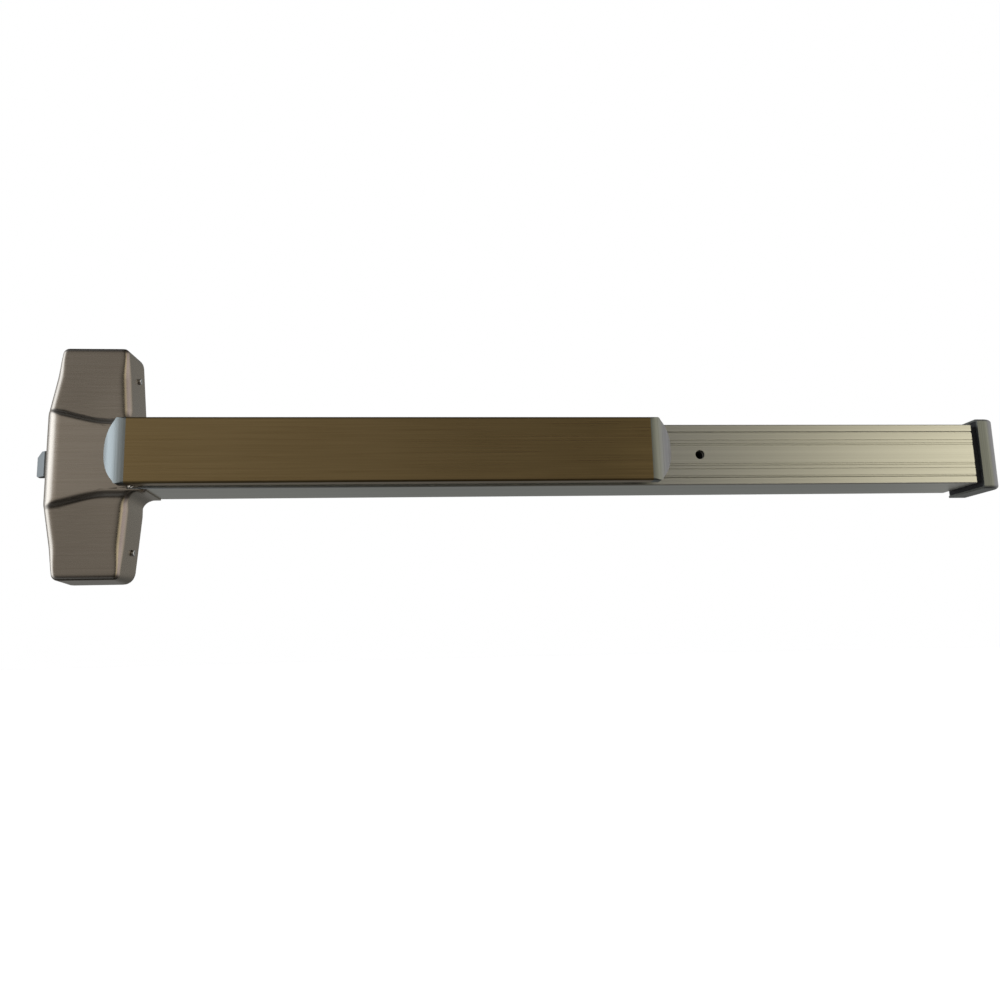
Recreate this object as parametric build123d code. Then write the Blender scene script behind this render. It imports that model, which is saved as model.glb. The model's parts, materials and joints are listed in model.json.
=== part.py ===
from build123d import *
import os
from math import cos, radians, sin

# Panic exit bar: a push-pad rim exit device for the push side of a door.
# Frame, in mm: the door's face is the plane Y = 0 and the room is towards -Y.
# X runs along the bar, from the latch head (-X) to the end cap (+X). Z is up.
# The origin is on the door's face at the middle of the latch head.

# ---------------------------------------------------------------- driving dimensions
HEAD_HALF_HEIGHT = 105.7
HEAD_WAIST_HALF = 45.0          # half height of the head's parallel middle
HEAD_RIGHT = 36.3               # flank's distance from the middle, at the waist, on the door
HEAD_RIGHT_END = 31.4           # the same at the top and bottom ends
HEAD_RIGHT_FRONT = 35.7         # the same at the front
HEAD_RIGHT_FRONT_END = 27.6
HEAD_LEFT = 35.2
HEAD_LEFT_END = 31.0
HEAD_LEFT_FRONT = 33.2
HEAD_LEFT_FRONT_END = 27.6
HEAD_END_DRAFT = 2.8            # how far the ends lean in at the front
HEAD_FLOOR = 58.0               # depth at which the front widths above are reached
FACET_WAIST_DEPTH = 48.0        # depth of a facet at the crease
FACET_END_DEPTH = 35.5          # depth of a facet at the head's end
CREASE_LEFT = 41.0              # half height of the crease at the latch side
CREASE_RIGHT = 31.0             # half height of the crease at the pad
CREASE_WIDTH = 9.0              # from the facet to the band, across the crease
CREASE_DROP = 5.0               # how far the crease falls from the band
BAND_DEPTH = 52.0
BAND_EDGE_RADIUS = 10.0
SHEET = 1.5                     # head cover's wall
NECK_SHEET = 1.2
NECK_END = 52.0
NECK_FILLET = 11.0

RAIL_START = 38.0
RAIL_END = 805.6
RAIL_HALF_HEIGHT = 28.1
RAIL_DEPTH = 52.1
RAIL_WALL = 2.0
RAIL_BACK = 2.5
LIP_INNER = 21.2                # half height of the rail's front opening
LIP_THICKNESS = 2.0
FILLER_START = 477.0
FILLER_THICKNESS = 2.4

PAD_LEFT = 42.8
PAD_RIGHT = 490.0
PAD_FRONT = 78.9
PAD_REAR = 68.0                 # back edge of the pad's flanges
PAD_HALF_HEIGHT = 28.4
PAD_SHEET = 1.2
PAD_EDGE = 2.2                  # radius along the pad's front edges
PAD_CAP_LENGTH = 20.0
PAD_CAP_SHOULDER = 7.0
PAD_TRAVEL = 15.0
CARRIER_RIGHT = FILLER_START - 5.0

CRANK_SWING = 40.0              # degrees
PAD_ARM = PAD_TRAVEL / 2 / sin(radians(CRANK_SWING / 2))
ROD_TRAVEL = 17.0
ROD_ARM = ROD_TRAVEL / 2 / sin(radians(CRANK_SWING / 2))
LATCH_DEPTH = 13.0              # the latch bolt's and the rod's middle, from the door
CRANK_DEPTH = LATCH_DEPTH + ROD_ARM
CRANK_X = {"left": 118.0, "right": 428.0}
PIN_RADIUS = 2.0
PIVOT_RADIUS = 3.0
RUNNING_FIT = 0.05
SLOT_GAP = 0.25

PLATE = 2.5                     # chassis plate
LATCH_TIP = -53.5
LATCH_BOTTOM = -9.5
LATCH_TOP = 13.3
LATCH_CHAMFER = 5.0
LATCH_HALF_DEPTH = 5.0
LATCH_SHOULDER = -20.0
TONGUE_HALF = 2.5
TONGUE_END = 22.0
LATCH_PIN_X = 17.0
LATCH_PIN_RADIUS = 1.5
CASE_LEFT = -32.0
CASE_RIGHT = 10.0
CASE_FOOT_HALF = 25.0
CASE_DEPTH = 23.0
CASE_WALL = 2.0

ROD_HALF_THICKNESS = 2.0
ROD_HALF_DEPTH = 6.0
ROD_START = 41.0
ROD_END = 517.8

DOG_X = 542.2
DOG_KEYHOLE = 4.2
DOG_JOURNAL = 4.0
HOOK_FRONT = 25.0
HOOK_REAR = 22.0
CATCH = 3.8                     # thickness of the catch at the rod's end

CAP_START = 811.3
CAP_END = 830.8
CAP_HALF_HEIGHT = 33.2
CAP_DEPTH = 54.0
CAP_EDGE = 12.0
CAP_SOFT_EDGE = 3.2
CAP_WALL = 2.0

HEAD_BOLT_X = 18.0              # half spacing of the chassis bolts
HEAD_BOLT_Z = 80.0
HEAD_BOLT_RADIUS = 2.75
END_BOLT_X = 819.5
END_BOLT_Z = 19.0
END_BOLT_RADIUS = 2.75
COVER_SCREW_Z = 79.0
COVER_SCREW_Y = -14.0

EAR_X = 28.6                    # outer face of the chassis plate's screw ears
EAR = 2.5
CASE_SCREWS = [(x, z) for x in (-25.0, 2.0) for z in (-21.0, 21.0)]
BRACKET_HEAD_SCREWS = [(26.0, -15.0), (26.0, 15.0)]
BRACKET_RAIL_SCREWS = [(66.0, -15.0), (66.0, 15.0)]
YOKE_INNER = TONGUE_HALF + 0.4
YOKE_OUTER = YOKE_INNER + 2.4
GUIDE_X = (180.0, 276.0, 494.0)
GUIDE_LENGTH = 6.0
GUIDE_RIVET_Z = 13.0
CRANK_RIVETS = [(dx, z) for dx in (-11.0, 11.0) for z in (-13.0, 13.0)]
GROOVES = (13.3, 10.2, 8.6)     # half heights of the plate's fine grooves
FILLER_BACK = -RAIL_DEPTH + FILLER_THICKNESS + 1.7
END_SCREWS = [(794.0, -14.0), (794.0, 14.0)]
JOGGLE_HALF_HEIGHT = 22.0
SEAL_FLANGE = 2.0
SEAL_SLACK = 0.5
POST_FACE = CAP_END - CAP_WALL - 0.5
CAP_SCREW_Y = (-14.0, -32.0)
CARRIER_FRONT = PAD_FRONT - PAD_SHEET
CARRIER_PLATE = 2.0
WEB_OUTER = 19.5
WEB_INNER = 17.5
WEB_REAR = 46.0
PAD_TENON = 11.0
PAD_END_SCREWS = [(x, z) for x in (PAD_LEFT + 6, PAD_RIGHT - 6) for z in (-15.0, 15.0)]
CRANK_INNER = ROD_HALF_THICKNESS + 0.4
CRANK_OUTER = CRANK_INNER + 2.5
CHEEK_INNER = CRANK_OUTER + 1.6
CHEEK = 2.0
COLLAR_X = 205.0
COLLAR_LENGTH = 5.0
YOKE_RIVETS = (48.0, 56.0)
FLANGE_REAR = 20.0
REAR_JOURNAL = 2.5
COLLAR_FRONT = -FILLER_BACK - 2.3
HOOK_INNER = 12.0
HOOK_OUTER = 16.5
FACET_SLOPE = (FACET_WAIST_DEPTH - FACET_END_DEPTH) / (HEAD_HALF_HEIGHT - CREASE_LEFT)


# ---------------------------------------------------------------- helpers
def block(x0, x1, y0, y1, z0, z1):
    """A box between two corners."""
    size = (abs(x1 - x0), abs(y1 - y0), abs(z1 - z0))
    return Pos((x0 + x1) / 2, (y0 + y1) / 2, (z0 + z1) / 2) * Box(*size)


def rod_x(radius, x0, x1, y, z):
    """A round bar along X."""
    return Pos((x0 + x1) / 2, y, z) * Rot(0, 90, 0) * Cylinder(radius, abs(x1 - x0))


def rod_y(radius, y0, y1, x, z):
    """A round bar along Y."""
    return Pos(x, (y0 + y1) / 2, z) * Rot(90, 0, 0) * Cylinder(radius, abs(y1 - y0))


def rod_z(radius, z0, z1, x, y):
    """A round bar along Z."""
    return Pos(x, y, (z0 + z1) / 2) * Cylinder(radius, abs(z1 - z0))


def outline(points):
    """A flat face in the XY plane from its corner points."""
    return make_face(Polyline(*points, close=True))


def prism_x(face, x0, x1):
    """A face drawn as (Y, Z), run from x0 to x1."""
    return extrude(Plane.YZ.offset(x0) * face, amount=x1 - x0)


def prism_y(face, y0, y1):
    """A face drawn as (X, Z), run from y0 towards the room to y1."""
    return extrude(Plane.XZ.offset(-y0) * face, amount=y0 - y1)


def prism_z(face, z0, z1):
    """A face drawn as (X, Y), run from z0 to z1."""
    return extrude(Plane.XY.offset(z0) * face, amount=z1 - z0)


def mirrored_z(shape):
    return mirror(shape, about=Plane.XY)


def both_z(shape):
    """A shape and its mirror image across the bar's middle plane."""
    return shape + mirrored_z(shape)


def hull(*circles):
    """The tight outline round circles given as (x, y, radius)."""
    edges = [(Pos(x, y) * Circle(r)).edge() for x, y, r in circles]
    return make_hull(edges)


def as_group(*shapes):
    """Separate solids kept side by side in one node."""
    return Compound(children=[s for shape in shapes for s in shape.solids()])


def screw_y(x, z, seat, tip, radius=2.0, head=3.6, height=2.2):
    """A pan-head screw driven towards the door: its head sits on the plane Y = seat."""
    cap = fillet(rod_y(head, seat, seat - height, x, z).edges().group_by(Axis.Y)[0], height * 0.4)
    socket = rod_y(head * 0.35, seat - height, seat - height * 0.45, x, z)
    return cap + rod_y(radius, seat, tip, x, z) - socket


def small_screw(x, z, seat):
    """A small pan-head screw through two sheets on the door's side."""
    return screw_y(x, z, seat, -0.3, radius=1.6, head=3.0, height=1.8)


def screw_x(x_seat, x_tip, y, z, radius=2.0, head=2.9, height=1.4):
    """A pan-head screw along X whose head sits on the plane X = x_seat."""
    way = 1 if x_seat > x_tip else -1
    cap = rod_x(head, x_seat, x_seat + way * height, y, z)
    rim = cap.edges().group_by(Axis.X)[-1 if way > 0 else 0]
    socket = rod_x(head * 0.35, x_seat + way * height, x_seat + way * height * 0.4, y, z)
    return fillet(rim, height * 0.4) + rod_x(radius, x_seat, x_tip, y, z) - socket


def rivet_y(x, z, front, back, radius=2.0, head=3.6):
    """A rivet whose domed head is at the front and whose tail ends flush at the back."""
    dome = rod_y(head, front, front - 1.4, x, z)
    return fillet(dome.edges().group_by(Axis.Y)[0], 0.9) + rod_y(radius, front, back, x, z)


def coil(radius, wire, length, turns, x, y, z):
    """A compression spring along X, from x, round the line (y, z)."""
    path = Helix(pitch=length / turns, height=length, radius=radius)
    start = Plane(origin=path @ 0, z_dir=path % 0)
    spring = sweep(start * Circle(wire / 2), path=path, is_frenet=True)
    return Pos(x, y, z) * Rot(0, 90, 0) * spring


# ---------------------------------------------------------------- head
def head_plan(left, left_end, right, right_end, half_height):
    """The head's front-view outline."""
    k = HEAD_WAIST_HALF
    return outline([
        (right, -k), (right, k), (right_end, half_height), (-left_end, half_height), (-left, k), (-left, -k),
        (-left_end, -half_height), (right_end, -half_height),
    ])


def facet_roof(inset, half_height):
    """The two facets' section, drawn as (Y, Z), flat where they reach the band's depth."""
    crest = CREASE_LEFT - (BAND_DEPTH - FACET_WAIST_DEPTH) / FACET_SLOPE
    eave = -(FACET_WAIST_DEPTH - FACET_SLOPE * (half_height - CREASE_LEFT)) + inset
    front = -BAND_DEPTH + inset
    return outline([
        (1, -half_height), (1, half_height), (eave, half_height), (front, crest), (front, -crest),
        (eave, -half_height),
    ])


def head_hull(inset):
    """The head's body: drafted flanks, two sloping facets and rounded edges."""
    back_widths = [w - inset for w in (HEAD_LEFT, HEAD_LEFT_END, HEAD_RIGHT, HEAD_RIGHT_END)]
    front_widths = [
        w - inset for w in (HEAD_LEFT_FRONT, HEAD_LEFT_FRONT_END, HEAD_RIGHT_FRONT, HEAD_RIGHT_FRONT_END)
    ]
    back = head_plan(*back_widths, HEAD_HALF_HEIGHT - inset)
    front = head_plan(*front_widths, HEAD_HALF_HEIGHT - HEAD_END_DRAFT - inset)
    body = loft([Plane.XZ * back, Plane.XZ.offset(HEAD_FLOOR) * front], ruled=True)
    ends = [e for e in body.edges() if abs(e.center().Z) > HEAD_WAIST_HALF + 20]
    upright = [e for e in ends if abs(e.tangent_at(0.5).Y) > 0.9]
    body = fillet(upright, 10.0 - inset)
    body = body & prism_x(facet_roof(inset, HEAD_HALF_HEIGHT + 10), -60, 60)
    crown = [e for e in body.edges() if e.center().Y < -30 and not crosses_head(e)]
    return fillet(crown, 5.0 - inset)


def crosses_head(edge):
    """Whether an edge runs straight across the head from flank to flank, inside its ends."""
    return abs(edge.tangent_at(0.5).X) > 0.99 and abs(edge.center().Z) < HEAD_WAIST_HALF


def crease_face(rise, depth):
    """The raised band's outline; its creases close in towards the push pad."""
    left, right = CREASE_LEFT + rise, CREASE_RIGHT + rise
    x0, x1, xm = -HEAD_LEFT - 3, RAIL_START - 0.5, -4.0
    bend = Spline((x0, left), (xm, (left + right) / 2 + 0.8), (x1 - 18, right), tangents=[(1, -0.12), (1, 0)])
    run = Line((x1 - 18, right), (x1, right))
    side = Line((x1, right), (x1, -right))
    under = mirror(run, about=Plane.XZ)
    curve = mirror(bend, about=Plane.XZ)
    close = Line((x0, -left), (x0, left))
    return Plane.XZ.offset(depth) * make_face([*bend.edges(), run, side, under, *curve.edges(), close])


def crease_section(step, inset):
    """The band's outline at one step (0 at the facet, 1 at the band) down the crease's S-shaped side."""
    rise = CREASE_WIDTH / 2 - CREASE_WIDTH * step
    drop = CREASE_DROP * (1 - step * step * (3 - 2 * step))
    return crease_face(rise - inset, BAND_DEPTH - inset - drop)


def band(inset):
    """The raised centre band between the two creases, rounded over at the latch side."""
    foot = crease_face(CREASE_WIDTH / 2 + 1 - inset, BAND_DEPTH - CREASE_DROP - inset - 5)
    ridge = loft([foot] + [crease_section(step / 6, inset) for step in range(7)], ruled=True)
    left, right, crown = -HEAD_LEFT + inset, HEAD_RIGHT + 8, BAND_DEPTH - inset
    section = outline([(left, -20), (left + 0.4, -crown), (right, -crown), (right, -20)])
    profile = prism_z(section, -60, 60)
    corner = [e for e in profile.edges() if e.center().Y < -40 and e.center().X < 0 and e.length > 100]
    profile = fillet(corner, BAND_EDGE_RADIUS - inset)
    return ridge & profile


def neck_plan(inset):
    """The neck's outline: parallel over the rail, flaring into the head's flank."""
    r, half = NECK_FILLET + inset, RAIL_HALF_HEIGHT + NECK_SHEET - inset
    edge = HEAD_RIGHT - 0.6
    flare = [
        (edge + r - r * sin(a), half + r - r * cos(a))
        for a in (radians(d) for d in range(0, 91, 15))
    ]
    top = [(NECK_END, half)] + flare + [(0, half + r)]
    return outline(top + [(x, -z) for x, z in reversed(top)])


def make_head_cover():
    neck = prism_y(neck_plan(0), 0, -BAND_DEPTH) & prism_x(facet_roof(0, 50), 0, NECK_END)
    outer = head_hull(0) + band(0) + neck
    room = head_hull(SHEET) + band(SHEET)
    cavity = room & block(-60, RAIL_START, 0, -80, -120, 120)
    tunnel = block(20, NECK_END + 1, 1, -RAIL_DEPTH - 8, -RAIL_HALF_HEIGHT, RAIL_HALF_HEIGHT)
    over_rail = block(RAIL_START - 0.5, 60, 1, -70, -60, 60)
    behind_cover = block(20, 40, 1, -BAND_DEPTH + SHEET, -60, 60)
    tunnel = tunnel & (over_rail + behind_cover)
    back = block(-60, 60, 0, 5, -120, 120)
    cover = outer - cavity - tunnel - back
    slot_half = LATCH_HALF_DEPTH + 0.8
    slot_front, slot_back = -LATCH_DEPTH - slot_half, -LATCH_DEPTH + slot_half
    slot = block(-60, -20, slot_front, slot_back, LATCH_BOTTOM - 0.8, LATCH_TOP + 0.8)
    cover = cover - slot
    for side in (-1, 1):
        for z in (-COVER_SCREW_Z, COVER_SCREW_Z):
            cover = cover - rod_x(2.0, side * 25, side * 45, COVER_SCREW_Y, z)
    return cover


def flank_x(side, z, y):
    """The flank's distance from the head's middle at a height and a depth."""
    wide, end = (HEAD_RIGHT, HEAD_RIGHT_END) if side > 0 else (HEAD_LEFT, HEAD_LEFT_END)
    front, front_end = (
        (HEAD_RIGHT_FRONT, HEAD_RIGHT_FRONT_END) if side > 0 else (HEAD_LEFT_FRONT, HEAD_LEFT_FRONT_END)
    )
    run = (abs(z) - HEAD_WAIST_HALF) / (HEAD_HALF_HEIGHT - HEAD_WAIST_HALF)
    on_door = wide + (end - wide) * run
    at_front = front + (front_end - front) * run
    return on_door + (at_front - on_door) * -y / HEAD_FLOOR


def cover_seat(side):
    """Where a cover screw's head bears on the drafted flank."""
    return flank_x(side, COVER_SCREW_Z, COVER_SCREW_Y) + 0.25


def make_head_cover_screws():
    tip = EAR_X - EAR - 2.5
    return as_group(*[
        screw_x(side * cover_seat(side), side * tip, COVER_SCREW_Y, z, head=2.8)
        for side in (-1, 1) for z in (-COVER_SCREW_Z, COVER_SCREW_Z)
    ])


def make_chassis_plate():
    """Steel plate on the door, with four ears that the cover screws reach."""
    plan = [(33, -40), (33, 40), (28.6, 98), (-28.6, 98), (-33, 40), (-33, -40), (-28.6, -98), (28.6, -98)]
    plate = prism_y(outline(plan), 0, -PLATE)
    plate = fillet([e for e in plate.edges() if abs(e.tangent_at(0.5).Y) > 0.9], 6.0)
    for side in (-1, 1):
        for z in (-COVER_SCREW_Z, COVER_SCREW_Z):
            ear = block(side * (EAR_X - EAR), side * EAR_X, 0, -21, z - 8, z + 8)
            plate = plate + ear
            plate = plate - rod_x(2.0, side * 20, side * 40, COVER_SCREW_Y, z)
    for x in (-HEAD_BOLT_X, HEAD_BOLT_X):
        for z in (-HEAD_BOLT_Z, HEAD_BOLT_Z):
            plate = plate - rod_y(HEAD_BOLT_RADIUS, 1, -PLATE - 1, x, z)
    plate = plate - block(-12, 12, 1, -PLATE - 1, 50, 62) - block(-12, 12, 1, -PLATE - 1, -62, -50)
    for x, z in CASE_SCREWS + BRACKET_HEAD_SCREWS:
        plate = plate - rod_y(1.6, 1, -PLATE - 1, x, z)
    return plate


def make_latch_case():
    """Cast housing that guides the latch bolt and stops its spring."""
    y0, y1 = -PLATE, -CASE_DEPTH
    body = block(CASE_LEFT, CASE_RIGHT, y0, y1, LATCH_BOTTOM - 3.5, LATCH_TOP + 3.5)
    body = fillet([e for e in body.edges() if e.center().Y < -20], 2.0)
    feet = block(CASE_LEFT, CASE_RIGHT, y0, y0 - 3, -CASE_FOOT_HALF, CASE_FOOT_HALF)
    feet = fillet([e for e in feet.edges() if abs(e.tangent_at(0.5).Y) > 0.9], 3.0)
    y, half_y = -LATCH_DEPTH, LATCH_HALF_DEPTH + 0.3
    bore = block(
        CASE_LEFT - 1, CASE_RIGHT - CASE_WALL, y - half_y, y + half_y, LATCH_BOTTOM - 0.3, LATCH_TOP + 0.3
    )
    gap = TONGUE_HALF + 0.3
    exit_hole = block(0, CASE_RIGHT + 1, y - gap, y + gap, -gap, gap)
    case = body + feet - bore - exit_hole
    for x, z in CASE_SCREWS:
        case = case - rod_y(1.6, 0, -12, x, z)
    return case


def make_latch_case_screws():
    return as_group(*[small_screw(x, z, -PLATE - 3) for x, z in CASE_SCREWS])


def make_latch_bolt():
    """Bevelled nose, chamfered at its upper tip, with a square tongue behind it."""
    y0, y1 = -LATCH_DEPTH + LATCH_HALF_DEPTH, -LATCH_DEPTH - LATCH_HALF_DEPTH
    low, high, chamfer = LATCH_BOTTOM, LATCH_TOP, LATCH_CHAMFER
    plan = outline([
        (LATCH_TIP, y0), (LATCH_SHOULDER, y0), (LATCH_SHOULDER, y1), (LATCH_TIP + 8, y1),
        (LATCH_TIP, y0 - 4.5),
    ])
    face = outline([
        (LATCH_TIP, low + 1), (LATCH_TIP + 1, low), (LATCH_SHOULDER, low), (LATCH_SHOULDER, high),
        (LATCH_TIP + chamfer, high), (LATCH_TIP, high - chamfer),
    ])
    nose = prism_z(plan, low, high) & prism_y(face, 0, -30)
    t = TONGUE_HALF
    tongue = block(LATCH_SHOULDER, TONGUE_END, -LATCH_DEPTH - t, -LATCH_DEPTH + t, -t, t)
    return nose + tongue - rod_z(LATCH_PIN_RADIUS, -20, 20, LATCH_PIN_X, -LATCH_DEPTH)


def make_latch_pin():
    return rod_z(LATCH_PIN_RADIUS, -YOKE_OUTER - 0.8, YOKE_OUTER + 0.8, LATCH_PIN_X, -LATCH_DEPTH)


def make_latch_spring():
    start = LATCH_SHOULDER + 0.6
    return coil(4.4, 0.9, CASE_RIGHT - CASE_WALL - 0.6 - start, 9, start, -LATCH_DEPTH, 0)


def make_rail_bracket():
    """Flat strap that ties the rail's back wall to the chassis plate."""
    strap = block(16, 78, -PLATE, -PLATE - 2.5, -22, 22)
    strap = fillet([e for e in strap.edges() if abs(e.tangent_at(0.5).Y) > 0.9], 5.0)
    for x, z in BRACKET_HEAD_SCREWS + BRACKET_RAIL_SCREWS:
        strap = strap - rod_y(1.6, 0, -10, x, z)
    return strap


def make_rail_bracket_screws():
    places = BRACKET_HEAD_SCREWS + BRACKET_RAIL_SCREWS
    return as_group(*[small_screw(x, z, -PLATE - 2.5) for x, z in places])


# ---------------------------------------------------------------- rail


def make_rail_channel():
    """C-section extrusion: back, two sides, front lips and a ledge behind each lip."""
    h, d = RAIL_HALF_HEIGHT, RAIL_DEPTH
    inner = h - RAIL_WALL
    ledge = d - LIP_THICKNESS - 2.2
    corner = 0.8
    half = [
        (0, 0), (0, h), (-d + corner, h), (-d, h - corner), (-d, LIP_INNER + 0.5), (-d + 0.5, LIP_INNER),
        (-d + LIP_THICKNESS, LIP_INNER), (-d + LIP_THICKNESS, inner), (-ledge, inner),
        (-ledge, inner - 1.6), (-ledge + 1.6, inner - 1.6), (-ledge + 1.6, inner), (-RAIL_BACK, inner),
        (-RAIL_BACK, 0),
    ]
    side = prism_x(outline(half), RAIL_START, RAIL_END)
    rail = both_z(side)
    holes = [(x, z, 1.6) for x, z in BRACKET_RAIL_SCREWS + END_SCREWS]
    holes += [(x, z, 2.0) for x in GUIDE_X for z in (-GUIDE_RIVET_Z, GUIDE_RIVET_Z)]
    holes += [(x + dx, z, 2.0) for x in CRANK_X.values() for dx, z in CRANK_RIVETS]
    for x, z, r in holes:
        rail = rail - rod_y(r, 1, -RAIL_BACK - 1, x, z)
    return rail


def make_filler_plate():
    """Grooved cover strip that slides in behind the rail's lips."""
    d, t = RAIL_DEPTH, FILLER_THICKNESS
    face, wing = LIP_INNER - 0.5, RAIL_HALF_HEIGHT - RAIL_WALL - 0.4
    top = [(-d + 0.5, face), (-d + 0.5, face - 0.9), (-d, face - 1.2)]
    for z in GROOVES:
        top += [(-d, z + 0.45), (-d + 0.6, z + 0.2), (-d + 0.6, z - 0.2), (-d, z - 0.45)]
    half = [(-d + LIP_THICKNESS + 0.1, 0), (-d + t + 1.7, 0), (-d + t + 1.7, wing),
            (-d + LIP_THICKNESS + 0.1, wing), (-d + LIP_THICKNESS + 0.1, face)] + top + [(-d, 0)]
    plate = both_z(prism_x(outline(half), FILLER_START, RAIL_END))
    return plate - rod_y(DOG_KEYHOLE, -d - 1, -d + 10, DOG_X, 0)


def make_end_bracket():
    """Foot screwed to the door, a joggled tongue in the rail and an upright for the cap screws."""
    half, top = JOGGLE_HALF_HEIGHT, -RAIL_BACK - 3
    foot_start = CAP_START + SEAL_FLANGE + 2 * SEAL_SLACK
    foot = block(foot_start, POST_FACE, 0, -3, -29, 29)
    joggle = block(RAIL_END + 0.3, foot_start + 0.5, 0, top, -half, half)
    tongue = block(780, RAIL_END + 1, -RAIL_BACK, top, -half, half)
    post = block(POST_FACE - 3, POST_FACE, 0, -40, -12, 12)
    bracket = foot + joggle + tongue + post
    for z in (-END_BOLT_Z, END_BOLT_Z):
        bracket = bracket - rod_y(END_BOLT_RADIUS, 1, -9, END_BOLT_X, z)
    for x, z in END_SCREWS:
        bracket = bracket - rod_y(1.6, 1, -9, x, z)
    for y in CAP_SCREW_Y:
        bracket = bracket - rod_x(2.0, POST_FACE - 4, CAP_END, y, 0)
    return bracket


def make_rail_end_seal():
    """Dark moulded plug: a spigot in the rail, a set-back collar, and a flange that fills the cap's mouth."""
    inner = JOGGLE_HALF_HEIGHT + 0.4
    collar = block(RAIL_END + 0.1, CAP_START + SEAL_SLACK + 0.5, -0.5, -RAIL_DEPTH + 2.3, -26, 26)
    spigot = block(RAIL_END - 6.5, RAIL_END + 1, -6.5, FILLER_BACK + 2.2, -24.2, 24.2)
    front, half, corner = -CAP_DEPTH + CAP_WALL + 0.2, CAP_HALF_HEIGHT - CAP_WALL - 0.2, 1.5
    mouth = outline([
        (-0.5, -half), (front + corner, -half), (front, -half + corner), (front, half - corner),
        (front + corner, half), (-0.5, half),
    ])
    flange = prism_x(mouth, CAP_START + SEAL_SLACK, CAP_START + SEAL_SLACK + SEAL_FLANGE)
    room = block(RAIL_END - 7, CAP_START + 6, 1, FILLER_BACK + 4.2, -inner, inner)
    return collar + spigot + flange - room


def make_end_bracket_screws():
    return as_group(*[small_screw(x, z, -RAIL_BACK - 3) for x, z in END_SCREWS])


def cap_body(inset):
    """The end cap's form: rounded over towards the room, the end, the top and the bottom."""
    x1, h, d = CAP_END - inset, CAP_HALF_HEIGHT - inset, CAP_DEPTH - inset
    plan = outline([(CAP_START, 0), (x1, 0), (x1, -d), (CAP_START, -d)])
    plan = fillet([v for v in plan.vertices() if v.X > CAP_START + 1 and v.Y < -1], CAP_EDGE - inset)
    body = prism_z(plan, -h, h)
    rims = [e for e in body.edges() if abs(abs(e.center().Z) - h) < 0.01]
    outer = [e for e in rims if e.center().X > CAP_START + 1 and e.center().Y < -1]
    return fillet(outer, CAP_SOFT_EDGE - inset)


def make_end_cap():
    cap = cap_body(0) - cap_body(CAP_WALL)
    for y in CAP_SCREW_Y:
        cap = cap - rod_x(2.0, CAP_END - CAP_WALL - 1, CAP_END + 1, y, 0)
    return cap


def make_end_cap_screws():
    return as_group(*[screw_x(CAP_END, POST_FACE - 4, y, 0, head=3.4, height=1.6) for y in CAP_SCREW_Y])


# ---------------------------------------------------------------- push pad
def channel_section(inset):
    """The pad's front-view-closed section, drawn as (Y, Z)."""
    h = PAD_HALF_HEIGHT - inset
    face = outline([(-PAD_REAR, -h), (-PAD_REAR, h), (-PAD_FRONT + inset, h), (-PAD_FRONT + inset, -h)])
    front = [v for v in face.vertices() if v.X < -PAD_REAR - 1]
    return fillet(front, PAD_EDGE - inset)


def make_pad_cover():
    """Brushed sheet folded into a shallow channel, open towards the door."""
    x0, x1, inner = PAD_LEFT - 1, PAD_RIGHT + 1, PAD_HALF_HEIGHT - PAD_SHEET
    cover = prism_x(channel_section(0), PAD_LEFT, PAD_RIGHT)
    mouth = block(x0, x1, -PAD_REAR + 1, -PAD_REAR - 4, -inner, inner)
    return cover - prism_x(channel_section(PAD_SHEET), x0, x1) - mouth


def make_pad_carrier():
    """Aluminium extrusion that fills the pad cover and rides between the rail's lips."""
    h, f = PAD_HALF_HEIGHT - PAD_SHEET, CARRIER_FRONT
    left = PAD_LEFT + PAD_TENON + 1
    plate = block(PAD_LEFT + 1, PAD_RIGHT - 1, -f, -f + CARRIER_PLATE, -h + 1.6, h - 1.6)
    web = block(left, CARRIER_RIGHT, -f + CARRIER_PLATE, -WEB_REAR, WEB_INNER, WEB_OUTER)
    rib = block(left, PAD_RIGHT - PAD_TENON - 1, -f + CARRIER_PLATE - 0.1, -PAD_REAR - 0.5, h - 2.0, h)
    carrier = plate + both_z(web) + both_z(rib)
    for side in CRANK_X:
        for x, z in lug_rivets(side):
            carrier = carrier - rod_y(1.6, -CARRIER_FRONT - 1, -60, x, z)
    for x, z in PAD_END_SCREWS:
        carrier = carrier - rod_y(1.6, -CARRIER_FRONT - 1, -60, x, z)
    return carrier


def pad_cap_plan():
    """Front-view outline of a pad end cap, pointing to -X from the pad's end."""
    h, shoulder, tip = PAD_HALF_HEIGHT, -PAD_CAP_SHOULDER, -PAD_CAP_LENGTH
    middle, low = (shoulder - 1.6, h - 0.9), (shoulder - 2.6, h - 2.6)
    return make_face([
        Line((0, -h), (shoulder, -h)),
        ThreePointArc((shoulder, -h), (middle[0], -middle[1]), (low[0], -low[1])),
        ThreePointArc((low[0], -low[1]), (tip, 0), low),
        ThreePointArc(low, middle, (shoulder, h)),
        Line((shoulder, h), (0, h)), Line((0, h), (0, -h)),
    ])


def pad_cap_side(inset):
    """Top-view outline of a pad end cap: its face falls back to the rim at the tip."""
    front, rear, tip = -PAD_FRONT + inset, -PAD_REAR + 0.6, -PAD_CAP_LENGTH - 1.5 + inset
    bow = (tip * 0.55, front + (rear - front) * 0.27)
    return make_face([
        Line((0, rear), (0, front)),
        ThreePointArc((0, front), bow, (tip, rear)),
        Line((tip, rear), (0, rear)),
    ])


def pad_cap_form(inset):
    """The end cap's domed form, drawn in by an inset."""
    plan = prism_y(pad_cap_plan(), -PAD_REAR, -PAD_FRONT - 1)
    side = prism_z(pad_cap_side(inset), -PAD_HALF_HEIGHT, PAD_HALF_HEIGHT)
    return plan & side


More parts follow.
